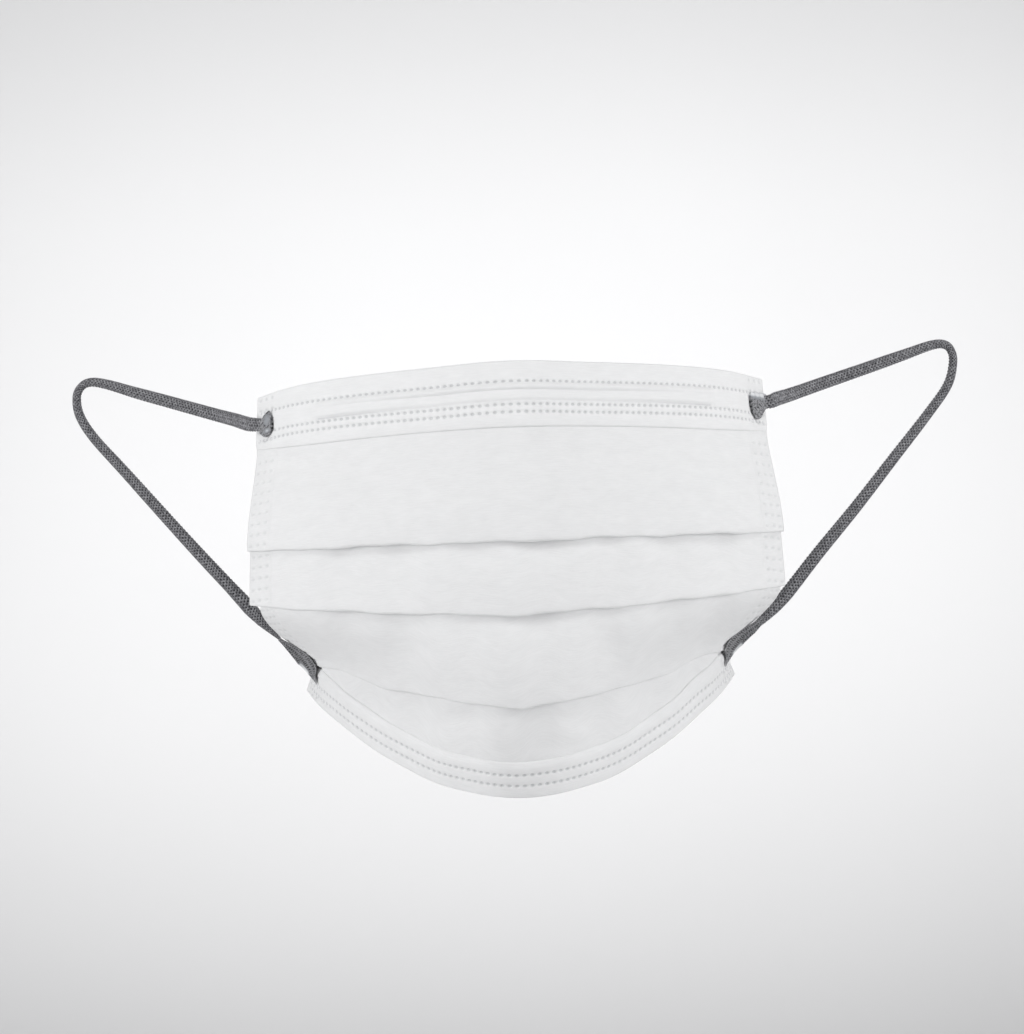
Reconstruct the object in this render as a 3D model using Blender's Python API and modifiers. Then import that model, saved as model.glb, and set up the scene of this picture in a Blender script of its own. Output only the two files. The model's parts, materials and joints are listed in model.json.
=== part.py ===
"""Pleated face mask in its worn form, in metres, +Z up, front towards -Y.

The cloth is one sheet of known width. Six level lines run across it: its two edges, its hem and the lips
of its three pleats. Each line is the cloth's own half width, bent back round the face by the turn table,
and the sheet is a smooth surface through the lines. A place on the mask is (across, down, proud):
across is the share of the half width, 0 at the midline and 1 at the side edge;
down is the share of the face height at which the sheet crosses the midline;
proud is how far a ply's middle stands out from the mask's outer surface, so it is negative for most.
"""

import math

import bmesh
import bpy
import numpy as np
from mathutils import Vector

# Cloth
CLOTH_WIDTH = 0.175
FACE_HEIGHT = 0.1127
CHIN_SETBACK = 0.015
WALL = 0.001
CLEARANCE = 0.0003
PLY_GAP = 0.0005
LIP_CLEARANCE = 0.0010

# Pleats
LAP_AT_MIDDLE = 0.006
LAP_AT_SIDE = 0.009
PANEL_CROWN = 0.0010

# Hems
BROW_RETURN = 0.0060
CHIN_HEM_WIDTH = 0.0108
CHIN_RETURN = 0.0050

# Nose wire
WIRE_LENGTH = 0.120
WIRE_WIDTH = 0.0040
WIRE_THICKNESS = 0.0010
WIRE_DROP = 0.0095
CHANNEL_WIDTH = 0.0060
CHANNEL_RAMP = 0.0020

# Ear loops
LOOP_DIAMETER = 0.0031
LOOP_POINT_SPACING = 0.0040
WELD_LENGTH = 0.0080
WELD_THICKNESS = 0.0014
UPPER_WELD_DROP = 0.0080
UPPER_WELD_HEIGHT = 0.0068
LOWER_WELD_RISE = 0.0060
LOWER_WELD_HEIGHT = 0.0040
# Shares of a weld's height, from its inner end to the side edge, and the places of its rows
WELD_OUTLINE_SHARES = (0.55, 0.95, 1.0, 0.75)
WELD_PLACE_SHARES = (-1.0, -0.4, 0.4, 1.0)

# Routes of the loops from the upper weld round the ear to the lower weld
LOOP_ROUTES = {
    "left": (
        (-0.0694, 0.0492, -0.0031),
        (-0.0711, 0.0527, -0.0026),
        (-0.0744, 0.0590, -0.0014),
        (-0.0805, 0.0670, 0.0005),
        (-0.0920, 0.0740, 0.0042),
        (-0.1021, 0.0790, 0.0074),
        (-0.1106, 0.0830, 0.0102),
        (-0.1150, 0.0850, 0.0109),
        (-0.1177, 0.0860, 0.0097),
        (-0.1190, 0.0860, 0.0068),
        (-0.1182, 0.0850, 0.0017),
        (-0.1143, 0.0830, -0.0046),
        (-0.1063, 0.0800, -0.0138),
        (-0.0973, 0.0770, -0.0243),
        (-0.0868, 0.0740, -0.0365),
        (-0.0760, 0.0710, -0.0487),
        (-0.0696, 0.0690, -0.0560),
        (-0.0644, 0.0665, -0.0613),
        (-0.0601, 0.0636, -0.0654),
        (-0.0572, 0.0607, -0.0687),
        (-0.0562, 0.0577, -0.0701),
    ),
    "right": (
        (0.0696, 0.0495, -0.0021),
        (0.0713, 0.0530, -0.0014),
        (0.0752, 0.0592, -0.0003),
        (0.0835, 0.0670, 0.0023),
        (0.0971, 0.0745, 0.0065),
        (0.1083, 0.0795, 0.0100),
        (0.1156, 0.0835, 0.0123),
        (0.1193, 0.0850, 0.0126),
        (0.1214, 0.0860, 0.0111),
        (0.1220, 0.0860, 0.0076),
        (0.1201, 0.0850, 0.0012),
        (0.1138, 0.0830, -0.0070),
        (0.1043, 0.0800, -0.0181),
        (0.0935, 0.0770, -0.0308),
        (0.0821, 0.0740, -0.0435),
        (0.0730, 0.0715, -0.0541),
        (0.0674, 0.0690, -0.0596),
        (0.0629, 0.0665, -0.0631),
        (0.0595, 0.0637, -0.0661),
        (0.0572, 0.0607, -0.0687),
        (0.0562, 0.0577, -0.0701),
    ),
}

# Turn back from straight ahead, in degrees, against the share of the half width
TURN_DEGREES = (
    (0.00, 0),
    (0.04, 9),
    (0.08, 17),
    (0.14, 28),
    (0.30, 33),
    (0.55, 35),
    (0.68, 42),
    (0.80, 51),
    (0.90, 58),
    (1.00, 62),
)

# Level lines. Heights are shares of FACE_HEIGHT below the top edge, at five places from the midline to the
# side edge; front is the share of CHIN_SETBACK behind the foremost point; turn multiplies the turn table.
LINE_COLUMNS = ("name", "middle", "inner", "half", "outer", "side", "front", "turn")
HEIGHT_SHARES = (0.0, 0.25, 0.5, 0.75, 1.0)
LINES = (
    ("top", 0.000, 0.007, 0.015, 0.028, 0.050, 0.60, 1.00),
    ("hem", 0.153, 0.156, 0.163, 0.172, 0.176, 0.33, 0.98),
    ("lip_one", 0.413, 0.411, 0.412, 0.414, 0.415, 0.00, 0.90),
    ("lip_two", 0.579, 0.572, 0.564, 0.553, 0.542, 0.03, 0.90),
    ("lip_three", 0.789, 0.769, 0.743, 0.699, 0.689, 0.27, 1.26),
    ("bottom", 1.000, 0.975, 0.910, 0.825, 0.755, 1.00, 1.16),
)

# Places of the mesh's columns, closer together at the midline and at the side
COLUMNS = (
    *(0.0, 0.03, 0.07, 0.12, 0.18, 0.25, 0.32, 0.40, 0.48),
    *(0.56, 0.64, 0.71, 0.77, 0.83, 0.89, 0.95, 1.0),
)
# Turns, in degrees, at which a pleat's fold and a hem's fold have their inner rows
FOLD_TURNS = (60.0, 120.0)
HEM_TURNS = (45.0, 90.0, 135.0)

# Steps in which the sheet and the routes are measured
LINE_STEPS = 80
DOWN_STEPS = 160
ROUTE_STEPS = 24
NORMAL_SHARE = 0.004

HALF_WIDTH = 0.5 * CLOTH_WIDTH
WIRE_END = 0.5 * WIRE_LENGTH / HALF_WIDTH

PLY_PITCH = WALL + PLY_GAP
FOLD_RADIUS = 0.5 * PLY_PITCH
OUTER_PLY = -0.5 * WALL
HEM_PITCH = WALL + CLEARANCE
UNDER_HEM = OUTER_PLY - HEM_PITCH
WIRE_PITCH = WIRE_THICKNESS + CLEARANCE
WIRE_DEPTH = UNDER_HEM + 0.5 * (WALL + WIRE_THICKNESS) + CLEARANCE
EDGE_INSET = 0.5 * WALL + HEM_PITCH


def level_line(row):
    """The line's points at even steps of the cloth's own half width."""
    values = dict(zip(LINE_COLUMNS, row))
    heights = [[values[name]] for name in ("middle", "inner", "half", "outer", "side")]
    z = -FACE_HEIGHT * smooth_through(HEIGHT_SHARES, np.array(heights), LEVEL_SHARES)[:, 0]
    angle = np.radians(np.interp(LEVEL_SHARES, *zip(*TURN_DEGREES))) * values["turn"]
    step = HALF_WIDTH / LINE_STEPS
    level = np.sqrt(np.maximum(step**2 - np.diff(z) ** 2, 0.0))
    middle_angle = 0.5 * (angle[1:] + angle[:-1])
    x = np.concatenate(([0.0], np.cumsum(level * np.cos(middle_angle))))
    y = np.concatenate(([0.0], np.cumsum(level * np.sin(middle_angle))))
    return np.stack([x, y + CHIN_SETBACK * values["front"], z], axis=1)


def smooth_through(knots, values, at):
    """Smooth curves through the values at the knots that never swing past a value."""
    knots = np.asarray(knots, float)
    width = np.diff(knots)[:, None]
    slope = np.diff(values, axis=0) / width
    before, after = slope[:-1], slope[1:]
    same_way = before * after > 0
    total = np.where(same_way, before + after, 1.0)
    inner = np.where(same_way, 2.0 * before * after / total, 0.0)
    tangent = np.concatenate((slope[:1], inner, slope[-1:]))
    at = np.atleast_1d(np.asarray(at, float))
    i = np.clip(np.searchsorted(knots, at, side="right") - 1, 0, len(width) - 1)
    t = ((at - knots[i]) / width[i, 0])[:, None]
    h = width[i]
    return (
        (1 + 2 * t) * (1 - t) ** 2 * values[i]
        + t * (1 - t) ** 2 * h * tangent[i]
        + t**2 * (3 - 2 * t) * values[i + 1]
        + t**2 * (t - 1) * h * tangent[i + 1]
    )


LEVEL_SHARES = np.linspace(0.0, 1.0, LINE_STEPS + 1)
LEVEL_LINES = [level_line(row) for row in LINES]
LEVEL_DOWNS = np.array([row[1] for row in LINES])
LIPS = tuple(row[1] for row in LINES if row[0].startswith("lip"))
HEM_LINE = LEVEL_DOWNS[1]


def sheet(across, down):
    """The outer surface's points at one share across, for one or more shares down."""
    crossing = []
    for line in LEVEL_LINES:
        crossing.append([np.interp(across, LEVEL_SHARES, line[:, axis]) for axis in range(3)])
    return smooth_through(LEVEL_DOWNS, np.array(crossing), down)


def outward(across, down):
    """Unit normal of the outer surface, pointing away from the face."""
    low, high = max(across - NORMAL_SHARE, 0.0), min(across + NORMAL_SHARE, 1.0)
    along = sheet(high, down)[0] - sheet(low, down)[0]
    top, bottom = max(down - NORMAL_SHARE, 0.0), min(down + NORMAL_SHARE, 1.0)
    fall = sheet(across, bottom)[0] - sheet(across, top)[0]
    normal = np.cross(fall, along)
    if across == 0.0:
        normal[0] = 0.0
    return normal / np.linalg.norm(normal)


class Strip:
    """One vertical line of the sheet, measured in metres down from its top edge."""

    def __init__(self, across):
        self.across = across
        self.downs = np.linspace(0.0, 1.0, DOWN_STEPS + 1)
        steps = np.linalg.norm(np.diff(sheet(across, self.downs), axis=0), axis=1)
        self.lengths = np.concatenate(([0.0], np.cumsum(steps)))
        self.lips = [self.length_at(lip) for lip in LIPS]
        self.hem = self.length_at(HEM_LINE)
        self.end = self.lengths[-1]
        self.lap = LAP_AT_MIDDLE + (LAP_AT_SIDE - LAP_AT_MIDDLE) * across

    def length_at(self, down):
        return float(np.interp(down, self.downs, self.lengths))

    def point(self, length, proud):
        """A place given by its length down the strip and its ply's stand from the outer surface."""
        down = float(np.interp(length, self.lengths, self.downs))
        return sheet(self.across, down)[0] + proud * outward(self.across, down)

    def panel_depth(self, panel, length):
        """A panel's ply: at its own lip it is the outer one, and at the lip above it the third."""
        if panel == 0:
            share = np.clip((length - self.hem) / (self.lips[0] - self.hem), 0.0, 1.0)
            return UNDER_HEM + (OUTER_PLY - UNDER_HEM) * share
        lip_above = self.lips[panel - 1]
        if length < lip_above:
            return self.panel_depth(panel - 1, length) - 2.0 * PLY_PITCH
        last = panel == len(LIPS)
        lip_below = self.end if last else self.lips[panel]
        target = UNDER_HEM if last else OUTER_PLY
        share = np.clip((length - lip_above) / (lip_below - lip_above), 0.0, 1.0)
        start = OUTER_PLY - 2.0 * PLY_PITCH
        crown = PANEL_CROWN * (1.0 - self.across) * math.sin(math.pi * share)
        return start + (target - start) * share + crown


def fold_rows(length, proud, way):
    """The inner rows of a half-round fold whose first ply ends at the given length."""
    rows = []
    for turn in FOLD_TURNS:
        angle = math.radians(turn)
        reach = way * FOLD_RADIUS * math.sin(angle)
        rows.append((length + reach, proud - FOLD_RADIUS * (1.0 - math.cos(angle))))
    return rows


def body_rows(strip):
    """The folded sheet's section: a panel, its lip, the ply going up and the hidden fold, three times,
    and the last panel."""
    covered = np.linspace(EDGE_INSET, strip.hem, 4)[:-1]
    rows = [(length, strip.panel_depth(0, length)) for length in covered]
    start = strip.hem
    for panel, lip in enumerate(strip.lips):
        end = lip - FOLD_RADIUS - 0.5 * WALL
        count = 6 if panel == 0 else 5
        for length in np.linspace(start, end, count):
            rows.append((length, strip.panel_depth(panel, length)))
        rows += fold_rows(end, rows[-1][1], 1.0)
        rows.append((end, strip.panel_depth(panel, end) - PLY_PITCH))
        hidden = end - strip.lap
        rows.append((hidden, strip.panel_depth(panel, hidden) - PLY_PITCH))
        rows += fold_rows(hidden, rows[-1][1], -1.0)
        rows.append((hidden, strip.panel_depth(panel + 1, hidden)))
        start = lip
    last = len(LIPS)
    for length in np.linspace(start, strip.end - EDGE_INSET, 6):
        rows.append((length, strip.panel_depth(last, length)))
    return rows


def channel_bump(strip, length):
    """The stand that the nose wire gives the hem, fading past the wire's ends."""
    off_middle = abs(length - WIRE_DROP)
    upright = np.clip((0.5 * CHANNEL_WIDTH + CHANNEL_RAMP - off_middle) / CHANNEL_RAMP, 0.0, 1.0)
    past_end = (strip.across - WIRE_END) * HALF_WIDTH
    endways = np.clip(1.0 - (past_end - CHANNEL_RAMP) / (2.0 * CHANNEL_RAMP), 0.0, 1.0)
    return WIRE_PITCH * upright * endways


def hem_rows(strip, panel, front_lengths, fold_centre, way, back_end):
    """A hem's section: its front from the open edge to the fold, the fold round the cloth's edge, and
    the short return."""
    rows = []
    for length in front_lengths + [fold_centre]:
        bump = channel_bump(strip, length) if panel == 0 else 0.0
        rows.append((length, strip.panel_depth(panel, length) + HEM_PITCH + bump))
    middle = strip.panel_depth(panel, fold_centre)
    for turn in HEM_TURNS:
        angle = math.radians(turn)
        reach = way * HEM_PITCH * math.sin(angle)
        rows.append((fold_centre + reach, middle + HEM_PITCH * math.cos(angle)))
    for length in (fold_centre, back_end):
        rows.append((length, strip.panel_depth(panel, length) - HEM_PITCH))
    return rows


def brow_hem_rows(strip):
    flat = 0.5 * CHANNEL_WIDTH
    sloped = flat + CHANNEL_RAMP
    channel = [WIRE_DROP + off_middle for off_middle in (sloped, flat, -flat, -sloped)]
    return hem_rows(strip, 0, [strip.hem] + channel, EDGE_INSET, -1.0, EDGE_INSET + BROW_RETURN)


def chin_hem_rows(strip):
    centre = strip.end - EDGE_INSET
    open_edge = max(strip.end - CHIN_HEM_WIDTH, strip.lips[-1] + LIP_CLEARANCE)
    middle = 0.5 * (open_edge + centre)
    return hem_rows(strip, len(LIPS), [open_edge, middle], centre, 1.0, centre - CHIN_RETURN)


def wire_rows(strip):
    return [(WIRE_DROP + edge * WIRE_WIDTH, WIRE_DEPTH) for edge in (-0.5, 0.5)]


def material(name, colour, roughness):
    made = bpy.data.materials.new(name)
    made.use_nodes = True
    shader = made.node_tree.nodes["Principled BSDF"]
    shader.inputs["Base Color"].default_value = (*colour, 1.0)
    shader.inputs["Roughness"].default_value = roughness
    shader.inputs["Metallic"].default_value = 0.0
    return made


def grid_object(name, shares, rows_of, thickness, finish, mirrored=True, side=1.0):
    """A wall on a grid whose columns are strips of the sheet and whose rows come from rows_of."""
    strips = [Strip(share) for share in shares]
    places = [[strip.point(*row) - SEAT for row in rows_of(strip)] for strip in strips]
    bm = bmesh.new()
    bmesh.ops.create_grid(bm, x_segments=len(shares) - 1, y_segments=len(places[0]) - 1, size=0.5)
    for vertex in bm.verts:
        i = round((vertex.co.x + 0.5) * (len(shares) - 1))
        j = round((0.5 - vertex.co.y) * (len(places[0]) - 1))
        x, y, z = places[i][j]
        vertex.co = Vector((side * x, y, z))
    if side < 0:
        bmesh.ops.reverse_faces(bm, faces=bm.faces)
    mesh = bpy.data.meshes.new(name)
    bm.to_mesh(mesh)
    bm.free()
    mesh.shade_smooth()
    mesh.materials.append(finish)
    made = bpy.data.objects.new(name, mesh)
    PARTS.objects.link(made)
    if mirrored:
        mirror = made.modifiers.new("Mirror", "MIRROR")
        mirror.merge_threshold = 0.00001
    wall = made.modifiers.new("Wall", "SOLIDIFY")
    wall.thickness = thickness
    wall.offset = 0.0
    wall.use_even_offset = True


def upper_centre(strip):
    return UPPER_WELD_DROP


def lower_centre(strip):
    return strip.end - LOWER_WELD_RISE


def weld(name, side, panel, centre_of, height):
    """A loop's flattened end on a hem's outer face, at the side edge."""
    first = 1.0 - WELD_LENGTH / HALF_WIDTH
    shares = np.linspace(first, 1.0, len(WELD_OUTLINE_SHARES))

    def rows_of(strip):
        half = 0.5 * height * float(np.interp(strip.across, shares, WELD_OUTLINE_SHARES))
        rows = []
        for place in WELD_PLACE_SHARES:
            length = centre_of(strip) + half * place
            hem_face = strip.panel_depth(panel, length) + HEM_PITCH + 0.5 * WALL
            rows.append((length, hem_face + CLEARANCE + 0.5 * WELD_THICKNESS))
        return rows

    grid_object(name, shares, rows_of, WELD_THICKNESS, MELTED, mirrored=False, side=side)


def smooth_route(points, spacing):
    """Even points on a smooth curve through a route's own points."""
    points = [Vector(point) for point in points]
    padded = [2 * points[0] - points[1]] + points + [2 * points[-1] - points[-2]]
    fine = []
    for a, b, c, d in zip(padded, padded[1:], padded[2:], padded[3:]):
        for step in range(ROUTE_STEPS):
            t = step / ROUTE_STEPS
            square = 2 * a - 5 * b + 4 * c - d
            cube = 3 * b - a - 3 * c + d
            fine.append(0.5 * (2 * b + (c - a) * t + square * t**2 + cube * t**3))
    fine.append(points[-1])
    lengths = np.concatenate(([0.0], np.cumsum([(q - p).length for p, q in zip(fine, fine[1:])])))
    count = round(lengths[-1] / spacing)
    even = np.linspace(0.0, lengths[-1], count + 1)
    axes = [np.interp(even, lengths, [point[axis] for point in fine]) for axis in range(3)]
    return np.stack(axes, axis=1)


def ear_loop(name, route):
    curve = bpy.data.curves.new(name, "CURVE")
    curve.dimensions = "3D"
    curve.bevel_depth = 0.5 * LOOP_DIAMETER
    curve.bevel_resolution = 2
    curve.use_fill_caps = True
    points = smooth_route(route, LOOP_POINT_SPACING)
    spline = curve.splines.new("POLY")
    spline.points.add(len(points) - 1)
    for target, place in zip(spline.points, points):
        target.co = (*place, 1.0)
    curve.materials.append(ELASTIC)
    PARTS.objects.link(bpy.data.objects.new(name, curve))


def clear_scene():
    for old in list(bpy.data.objects):
        bpy.data.objects.remove(old, do_unlink=True)


clear_scene()
SEAT = Strip(0.0).point(WIRE_DROP, UNDER_HEM - 0.5 * WALL)
PARTS = bpy.data.collections.new("surgical_face_mask")
bpy.context.scene.collection.children.link(PARTS)

NONWOVEN = material("nonwoven_cloth", (0.86, 0.87, 0.88), 0.85)
HEM_CLOTH = material("hem_cloth", (0.88, 0.89, 0.90), 0.82)
WIRE_PLASTIC = material("wire_plastic", (0.80, 0.81, 0.82), 0.45)
ELASTIC = material("knitted_elastic", (0.13, 0.13, 0.14), 0.8)
MELTED = material("melted_elastic", (0.20, 0.20, 0.21), 0.6)

grid_object("mask_body", COLUMNS, body_rows, WALL, NONWOVEN)
grid_object("brow_hem", COLUMNS, brow_hem_rows, WALL, HEM_CLOTH)
grid_object("chin_hem", COLUMNS, chin_hem_rows, WALL, HEM_CLOTH)
wire_columns = [share for share in COLUMNS if share < WIRE_END] + [WIRE_END]
grid_object("nose_wire", wire_columns, wire_rows, WIRE_THICKNESS, WIRE_PLASTIC)

for side_name, side in (("left", -1.0), ("right", 1.0)):
    weld(f"loop_weld_{side_name}_upper", side, 0, upper_centre, UPPER_WELD_HEIGHT)
    weld(f"loop_weld_{side_name}_lower", side, len(LIPS), lower_centre, LOWER_WELD_HEIGHT)
    ear_loop(f"ear_loop_{side_name}", LOOP_ROUTES[side_name])
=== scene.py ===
# %% [markdown]
# # A pleated face mask, worn and seen from the front
# The mask is thin white cloth, folded and welded, with two knitted elastic loops. Its folded solids come
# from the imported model. This lesson dresses them: each cloth piece is a fine grid laid on the same curved
# surface, so that every weld dot is a real dent, and each loop is a tube with its knitting on it.

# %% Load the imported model
import json
import math

import bmesh
import bpy
import numpy as np
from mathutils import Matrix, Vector

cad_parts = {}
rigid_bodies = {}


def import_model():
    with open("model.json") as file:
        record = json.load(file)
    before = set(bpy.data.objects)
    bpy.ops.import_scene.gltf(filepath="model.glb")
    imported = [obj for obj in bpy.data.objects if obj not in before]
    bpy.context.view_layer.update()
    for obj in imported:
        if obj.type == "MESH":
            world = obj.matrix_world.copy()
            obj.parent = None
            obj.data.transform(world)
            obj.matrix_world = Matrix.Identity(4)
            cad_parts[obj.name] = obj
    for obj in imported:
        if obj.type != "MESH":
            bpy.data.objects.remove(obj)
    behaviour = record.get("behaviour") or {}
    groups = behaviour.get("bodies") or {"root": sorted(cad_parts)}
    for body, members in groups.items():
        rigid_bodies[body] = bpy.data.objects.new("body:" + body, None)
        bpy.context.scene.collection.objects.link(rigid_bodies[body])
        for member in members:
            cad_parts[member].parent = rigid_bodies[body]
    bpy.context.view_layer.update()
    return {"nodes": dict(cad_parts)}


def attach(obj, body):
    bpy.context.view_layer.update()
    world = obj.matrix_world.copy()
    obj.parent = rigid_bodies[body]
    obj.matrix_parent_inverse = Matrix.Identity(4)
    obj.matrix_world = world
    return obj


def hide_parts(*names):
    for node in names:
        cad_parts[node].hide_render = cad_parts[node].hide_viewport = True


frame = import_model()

print("solids:", sorted(frame["nodes"]))

# %% [markdown]
# ## The camera
# The mask was photographed from straight ahead, from a little over a metre, with a long lens. So the camera
# is level and looks along +Y. It leans by two degrees, because the mask hangs a little higher on its right.

# %% Camera
CAMERA_PLACE = (-0.0007, -1.159, -0.0304)
CAMERA_LEAN = 2.15
FOCAL_LENGTH = 159.3

camera_data = bpy.data.cameras.new("camera")
camera_data.sensor_fit = "HORIZONTAL"
camera_data.sensor_width = 36.0
camera_data.lens = FOCAL_LENGTH
camera_data.clip_start = 0.05
camera_data.clip_end = 20.0
camera = bpy.data.objects.new("camera", camera_data)
camera.location = CAMERA_PLACE
camera.rotation_euler = (math.radians(90.0), math.radians(CAMERA_LEAN), 0.0)
bpy.context.scene.collection.objects.link(camera)
bpy.context.scene.camera = camera
bpy.context.scene.view_settings.view_transform = "Standard"
print("camera at", CAMERA_PLACE, "lens", FOCAL_LENGTH)

# %% [markdown]
# ## Small tools for finishes
# Every finish is a Principled shader. Its colour, roughness and relief come from noise that is read in the
# piece's own flat cloth coordinates (the UV map, where 1.0 is the cloth's width) or in object coordinates.


# %% Node helpers
def new_finish(name):
    finish = bpy.data.materials.new(name)
    finish.use_nodes = True
    return finish, finish.node_tree, finish.node_tree.nodes["Principled BSDF"]


def coordinates(tree, output, scale, turn=0.0):
    source = tree.nodes.new("ShaderNodeTexCoord")
    mapping = tree.nodes.new("ShaderNodeMapping")
    mapping.inputs["Scale"].default_value = scale
    mapping.inputs["Rotation"].default_value = (0.0, 0.0, math.radians(turn))
    tree.links.new(source.outputs[output], mapping.inputs["Vector"])
    return mapping.outputs["Vector"]


def noise_on(tree, vector, scale, detail=2.0, roughness=0.5):
    texture = tree.nodes.new("ShaderNodeTexNoise")
    texture.inputs["Scale"].default_value = scale
    texture.inputs["Detail"].default_value = detail
    texture.inputs["Roughness"].default_value = roughness
    tree.links.new(vector, texture.inputs["Vector"])
    return texture.outputs["Fac"]


def ramp(tree, value, stops):
    node = tree.nodes.new("ShaderNodeValToRGB")
    elements = node.color_ramp.elements
    while len(elements) < len(stops):
        elements.new(0.5)
    for element, (position, colour) in zip(elements, stops):
        element.position = position
        element.color = (*colour, 1.0)
    tree.links.new(value, node.inputs["Fac"])
    return node.outputs["Color"]


def mark(tree, name):
    """A number that the mesh carries at each vertex, such as how hard the cloth is pressed there."""
    node = tree.nodes.new("ShaderNodeAttribute")
    node.attribute_name = name
    return node.outputs["Fac"]


def write_marks(mesh, marks):
    for name, values in marks.items():
        layer = mesh.attributes.new(name, "FLOAT", "POINT")
        layer.data.foreach_set("value", np.asarray(values, np.float32))


def blend(tree, factor, first, second):
    """Goes from the first colour to the second as the factor goes from 0 to 1."""
    node = tree.nodes.new("ShaderNodeMix")
    node.data_type = "RGBA"
    for socket, value in ((node.inputs["Factor"], factor), (node.inputs["A"], first), (node.inputs["B"], second)):
        if isinstance(value, tuple):
            socket.default_value = (*value, 1.0)
        else:
            tree.links.new(value, socket)
    return node.outputs["Result"]


def combine(tree, operation, first, second):
    node = tree.nodes.new("ShaderNodeMath")
    node.operation = operation
    for socket, value in zip(node.inputs, (first, second)):
        if isinstance(value, (int, float)):
            socket.default_value = value
        else:
            tree.links.new(value, socket)
    return node.outputs["Value"]


def relief(tree, shader, height, distance, strength=1.0, under=None):
    bump = tree.nodes.new("ShaderNodeBump")
    bump.inputs["Strength"].default_value = strength
    bump.inputs["Distance"].default_value = distance
    tree.links.new(height, bump.inputs["Height"])
    if under is not None:
        tree.links.new(under, bump.inputs["Normal"])
    tree.links.new(bump.outputs["Normal"], shader.inputs["Normal"])
    return bump.outputs["Normal"]


# %% [markdown]
# ## Spunbond cloth
# The cloth is spunbond: endless fine threads, laid at random and pressed together. Up close it shows pale
# threads that run mostly along the roll, with thinner and thicker clouds between them. Three noises that
# are stretched at different angles give the threads, and a soft one gives the clouds.


# %% Spunbond cloth
THREAD_LAYERS = ((1.5, 15.0), (-8.0, 13.0), (11.0, 12.0))
# Weld dots are greyer than the cloth: partly the fused film, partly painted shade for the shade in each dot's dent.
WELD_FILM_AND_SHADE = (0.66, 0.665, 0.675)


def spunbond(name, pale, deep):
    finish, tree, shader = new_finish(name)
    threads = None
    for turn, stretch in THREAD_LAYERS:
        flat = coordinates(tree, "UV", (44.0, 44.0 * stretch, 1.0), turn)
        layer = noise_on(tree, flat, 1.0, 3.0, 0.6)
        threads = layer if threads is None else combine(tree, "MAXIMUM", threads, layer)
    flat = coordinates(tree, "UV", (1.0, 2.2, 1.0))
    clouds = noise_on(tree, flat, 30.0, 3.0, 0.5)
    mostly_threads = combine(tree, "MULTIPLY", threads, 0.7)
    both = combine(tree, "ADD", mostly_threads, combine(tree, "MULTIPLY", clouds, 0.3))
    cloth_colour = ramp(tree, both, ((0.40, deep), (0.64, pale)))
    # The pressed mark greys the weld dots: partly fused film, partly painted shade in their dents.
    film_and_shade = ramp(tree, mark(tree, "pressed"), ((0.20, (0.0, 0.0, 0.0)), (0.85, (1.0, 1.0, 1.0))))
    tree.links.new(blend(tree, film_and_shade, cloth_colour, WELD_FILM_AND_SHADE), shader.inputs["Base Color"])
    rough = ramp(tree, threads, ((0.4, (0.82, 0.82, 0.82)), (0.75, (0.68, 0.68, 0.68))))
    tree.links.new(rough, shader.inputs["Roughness"])
    shader.inputs["Sheen Weight"].default_value = 0.12
    shader.inputs["Sheen Roughness"].default_value = 0.5
    shader.inputs["Specular IOR Level"].default_value = 0.25
    soft = relief(tree, shader, clouds, 0.00022, 0.35)
    relief(tree, shader, threads, 0.00007, 0.8, soft)
    return finish


NONWOVEN = spunbond("nonwoven_cloth", (0.850, 0.853, 0.858), (0.795, 0.798, 0.803))
HEM_CLOTH = spunbond("hem_cloth", (0.870, 0.873, 0.878), (0.815, 0.818, 0.823))
print("cloth finishes:", NONWOVEN.name, HEM_CLOTH.name)

# %% [markdown]
# ## The sheet
# The folded mask is one flat sheet of known width, bent back round the face. Six level lines run across it:
# its two edges, its hem and the lips of its three pleats. Each line has the cloth's true half width and is
# bent by a table of angles. The tables are those of the solids, so the cloth lies just where they are.

# %% Sizes of the sheet
CLOTH_WIDTH = 0.175
HALF_WIDTH = 0.5 * CLOTH_WIDTH
FACE_HEIGHT = 0.1127
CHIN_SETBACK = 0.015
LINE_STEPS = 80
DOWN_STEPS = 200
NORMAL_STEP = 0.004

TURN = (
    (0.00, 0),
    (0.04, 9),
    (0.08, 17),
    (0.14, 28),
    (0.30, 33),
    (0.55, 35),
    (0.68, 42),
    (0.80, 51),
    (0.90, 58),
    (1.00, 62),
)
LINE_COLUMNS = ("name", "middle", "inner", "half", "outer", "side", "front", "turn")
HEIGHT_PLACES = (0.0, 0.25, 0.5, 0.75, 1.0)
LINES = (
    ("top", 0.000, 0.007, 0.015, 0.028, 0.050, 0.60, 1.00),
    ("hem", 0.153, 0.156, 0.163, 0.172, 0.176, 0.33, 0.98),
    ("lip_one", 0.413, 0.411, 0.412, 0.414, 0.415, 0.00, 0.90),
    ("lip_two", 0.579, 0.572, 0.564, 0.553, 0.542, 0.03, 0.90),
    ("lip_three", 0.789, 0.769, 0.743, 0.699, 0.689, 0.27, 1.26),
    ("bottom", 1.000, 0.975, 0.910, 0.825, 0.755, 1.00, 1.16),
)
LIPS = tuple(row[1] for row in LINES if row[0].startswith("lip"))


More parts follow.
